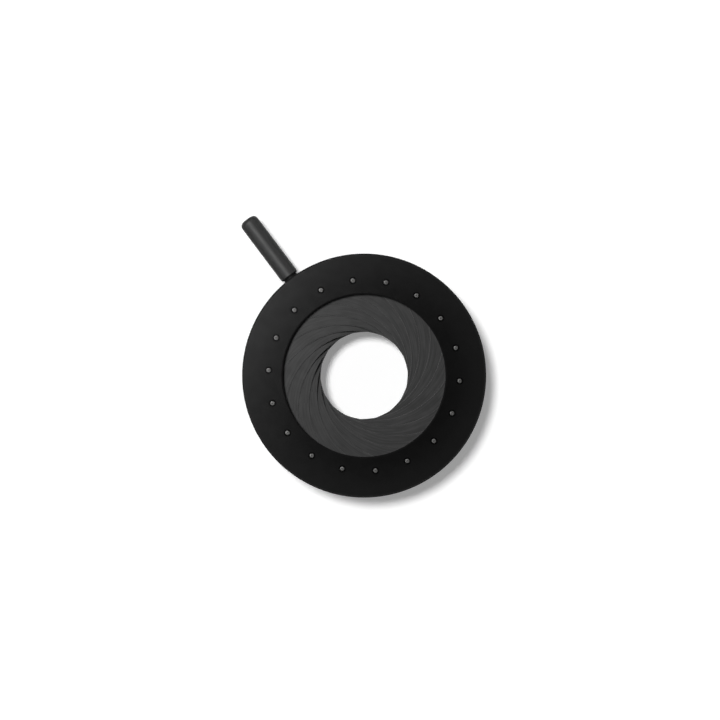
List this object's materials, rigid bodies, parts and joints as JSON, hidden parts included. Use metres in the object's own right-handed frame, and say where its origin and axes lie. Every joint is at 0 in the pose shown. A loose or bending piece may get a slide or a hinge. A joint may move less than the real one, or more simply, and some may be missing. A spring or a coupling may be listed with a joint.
{
  "type": "iris diaphragm",
  "caption": "Round black iris diaphragm: thin overlapping leaves in a ring housing, with a side lever that opens and closes the light aperture.",
  "frame": {"origin": "light axis at the back face, on which the part lies", "axes": "+Z along the light axis, out of the front face with the pivot pin ends; +X to the right and +Y up in the front view, lever at 126.9 degrees from +X"},
  "size_m": [0.0378, 0.0436, 0.0059],
  "materials": {
    "housing": "matte black anodised, turned and bead blasted",
    "actuator": "matte black anodised",
    "spring_ring": "phosphated spring steel",
    "handle": "satin black oxide, turned",
    "stud": "plain steel, threaded",
    "leaf": "matte blackened spring steel",
    "pin": "bare steel"
  },
  "bodies": {
    "housing": {"housing": "housing", "retaining_ring": "spring_ring"},
    "actuator": {"actuator_ring": "actuator", "lever_handle": "handle", "lever_stud": "stud"},
    "leaf_01": {"leaf_01": "leaf", "leaf_pins_01": "pin"},
    "leaf_02": {"leaf_02": "leaf", "leaf_pins_02": "pin"},
    "leaf_03": {"leaf_03": "leaf", "leaf_pins_03": "pin"},
    "leaf_04": {"leaf_04": "leaf", "leaf_pins_04": "pin"},
    "leaf_05": {"leaf_05": "leaf", "leaf_pins_05": "pin"},
    "leaf_06": {"leaf_06": "leaf", "leaf_pins_06": "pin"},
    "leaf_07": {"leaf_07": "leaf", "leaf_pins_07": "pin"},
    "leaf_08": {"leaf_08": "leaf", "leaf_pins_08": "pin"},
    "leaf_09": {"leaf_09": "leaf", "leaf_pins_09": "pin"},
    "leaf_10": {"leaf_10": "leaf", "leaf_pins_10": "pin"},
    "leaf_11": {"leaf_11": "leaf", "leaf_pins_11": "pin"},
    "leaf_12": {"leaf_12": "leaf", "leaf_pins_12": "pin"},
    "leaf_13": {"leaf_13": "leaf", "leaf_pins_13": "pin"},
    "leaf_14": {"leaf_14": "leaf", "leaf_pins_14": "pin"},
    "leaf_15": {"leaf_15": "leaf", "leaf_pins_15": "pin"},
    "leaf_16": {"leaf_16": "leaf", "leaf_pins_16": "pin"},
    "leaf_17": {"leaf_17": "leaf", "leaf_pins_17": "pin"},
    "leaf_18": {"leaf_18": "leaf", "leaf_pins_18": "pin"}
  },
  "joints": [
    {"name": "actuator_turn", "type": "hinge", "parent": "housing", "child": "actuator", "pos_m": [0, 0, 0.00226], "axis": [0, 0, 1], "range_deg": [-48.2, 45.3]},
    {"name": "leaf_01_turn", "type": "hinge", "parent": "housing", "child": "leaf_01", "pos_m": [0.01407, 0.00425, 0.00548], "axis": [0, 0, 1], "range_deg": [-25.2, 23.7]},
    {"name": "leaf_02_turn", "type": "hinge", "parent": "housing", "child": "leaf_02", "pos_m": [0.01177, 0.00881, 0.00548], "axis": [0, 0, 1], "range_deg": [-25.2, 23.7]},
    {"name": "leaf_03_turn", "type": "hinge", "parent": "housing", "child": "leaf_03", "pos_m": [0.00805, 0.0123, 0.00548], "axis": [0, 0, 1], "range_deg": [-25.2, 23.7]},
    {"name": "leaf_04_turn", "type": "hinge", "parent": "housing", "child": "leaf_04", "pos_m": [0.00336, 0.01431, 0.00548], "axis": [0, 0, 1], "range_deg": [-25.2, 23.7]},
    {"name": "leaf_05_turn", "type": "hinge", "parent": "housing", "child": "leaf_05", "pos_m": [-0.00174, 0.0146, 0.00548], "axis": [0, 0, 1], "range_deg": [-25.2, 23.7]},
    {"name": "leaf_06_turn", "type": "hinge", "parent": "housing", "child": "leaf_06", "pos_m": [-0.00663, 0.01312, 0.00548], "axis": [0, 0, 1], "range_deg": [-25.2, 23.7]},
    {"name": "leaf_07_turn", "type": "hinge", "parent": "housing", "child": "leaf_07", "pos_m": [-0.01072, 0.01006, 0.00548], "axis": [0, 0, 1], "range_deg": [-25.2, 23.7]},
    {"name": "leaf_08_turn", "type": "hinge", "parent": "housing", "child": "leaf_08", "pos_m": [-0.01351, 0.00579, 0.00548], "axis": [0, 0, 1], "range_deg": [-25.2, 23.7]},
    {"name": "leaf_09_turn", "type": "hinge", "parent": "housing", "child": "leaf_09", "pos_m": [-0.01468, 0.00082, 0.00548], "axis": [0, 0, 1], "range_deg": [-25.2, 23.7]},
    {"name": "leaf_10_turn", "type": "hinge", "parent": "housing", "child": "leaf_10", "pos_m": [-0.01407, -0.00425, 0.00548], "axis": [0, 0, 1], "range_deg": [-25.2, 23.7]},
    {"name": "leaf_11_turn", "type": "hinge", "parent": "housing", "child": "leaf_11", "pos_m": [-0.01177, -0.00881, 0.00548], "axis": [0, 0, 1], "range_deg": [-25.2, 23.7]},
    {"name": "leaf_12_turn", "type": "hinge", "parent": "housing", "child": "leaf_12", "pos_m": [-0.00805, -0.0123, 0.00548], "axis": [0, 0, 1], "range_deg": [-25.2, 23.7]},
    {"name": "leaf_13_turn", "type": "hinge", "parent": "housing", "child": "leaf_13", "pos_m": [-0.00336, -0.01431, 0.00548], "axis": [0, 0, 1], "range_deg": [-25.2, 23.7]},
    {"name": "leaf_14_turn", "type": "hinge", "parent": "housing", "child": "leaf_14", "pos_m": [0.00174, -0.0146, 0.00548], "axis": [0, 0, 1], "range_deg": [-25.2, 23.7]},
    {"name": "leaf_15_turn", "type": "hinge", "parent": "housing", "child": "leaf_15", "pos_m": [0.00663, -0.01312, 0.00548], "axis": [0, 0, 1], "range_deg": [-25.2, 23.7]},
    {"name": "leaf_16_turn", "type": "hinge", "parent": "housing", "child": "leaf_16", "pos_m": [0.01072, -0.01006, 0.00548], "axis": [0, 0, 1], "range_deg": [-25.2, 23.7]},
    {"name": "leaf_17_turn", "type": "hinge", "parent": "housing", "child": "leaf_17", "pos_m": [0.01351, -0.00579, 0.00548], "axis": [0, 0, 1], "range_deg": [-25.2, 23.7]},
    {"name": "leaf_18_turn", "type": "hinge", "parent": "housing", "child": "leaf_18", "pos_m": [0.01468, -0.00082, 0.00548], "axis": [0, 0, 1], "range_deg": [-25.2, 23.7]}
  ],
  "couplings": [
    {"joint": "leaf_01_turn", "follows": "actuator_turn", "ratio": 0.51925},
    {"joint": "leaf_02_turn", "follows": "actuator_turn", "ratio": 0.51925},
    {"joint": "leaf_03_turn", "follows": "actuator_turn", "ratio": 0.51925},
    {"joint": "leaf_04_turn", "follows": "actuator_turn", "ratio": 0.51925},
    {"joint": "leaf_05_turn", "follows": "actuator_turn", "ratio": 0.51925},
    {"joint": "leaf_06_turn", "follows": "actuator_turn", "ratio": 0.51925},
    {"joint": "leaf_07_turn", "follows": "actuator_turn", "ratio": 0.51925},
    {"joint": "leaf_08_turn", "follows": "actuator_turn", "ratio": 0.51925},
    {"joint": "leaf_09_turn", "follows": "actuator_turn", "ratio": 0.51925},
    {"joint": "leaf_10_turn", "follows": "actuator_turn", "ratio": 0.51925},
    {"joint": "leaf_11_turn", "follows": "actuator_turn", "ratio": 0.51925},
    {"joint": "leaf_12_turn", "follows": "actuator_turn", "ratio": 0.51925},
    {"joint": "leaf_13_turn", "follows": "actuator_turn", "ratio": 0.51925},
    {"joint": "leaf_14_turn", "follows": "actuator_turn", "ratio": 0.51925},
    {"joint": "leaf_15_turn", "follows": "actuator_turn", "ratio": 0.51925},
    {"joint": "leaf_16_turn", "follows": "actuator_turn", "ratio": 0.51925},
    {"joint": "leaf_17_turn", "follows": "actuator_turn", "ratio": 0.51925},
    {"joint": "leaf_18_turn", "follows": "actuator_turn", "ratio": 0.51925}
  ]
}
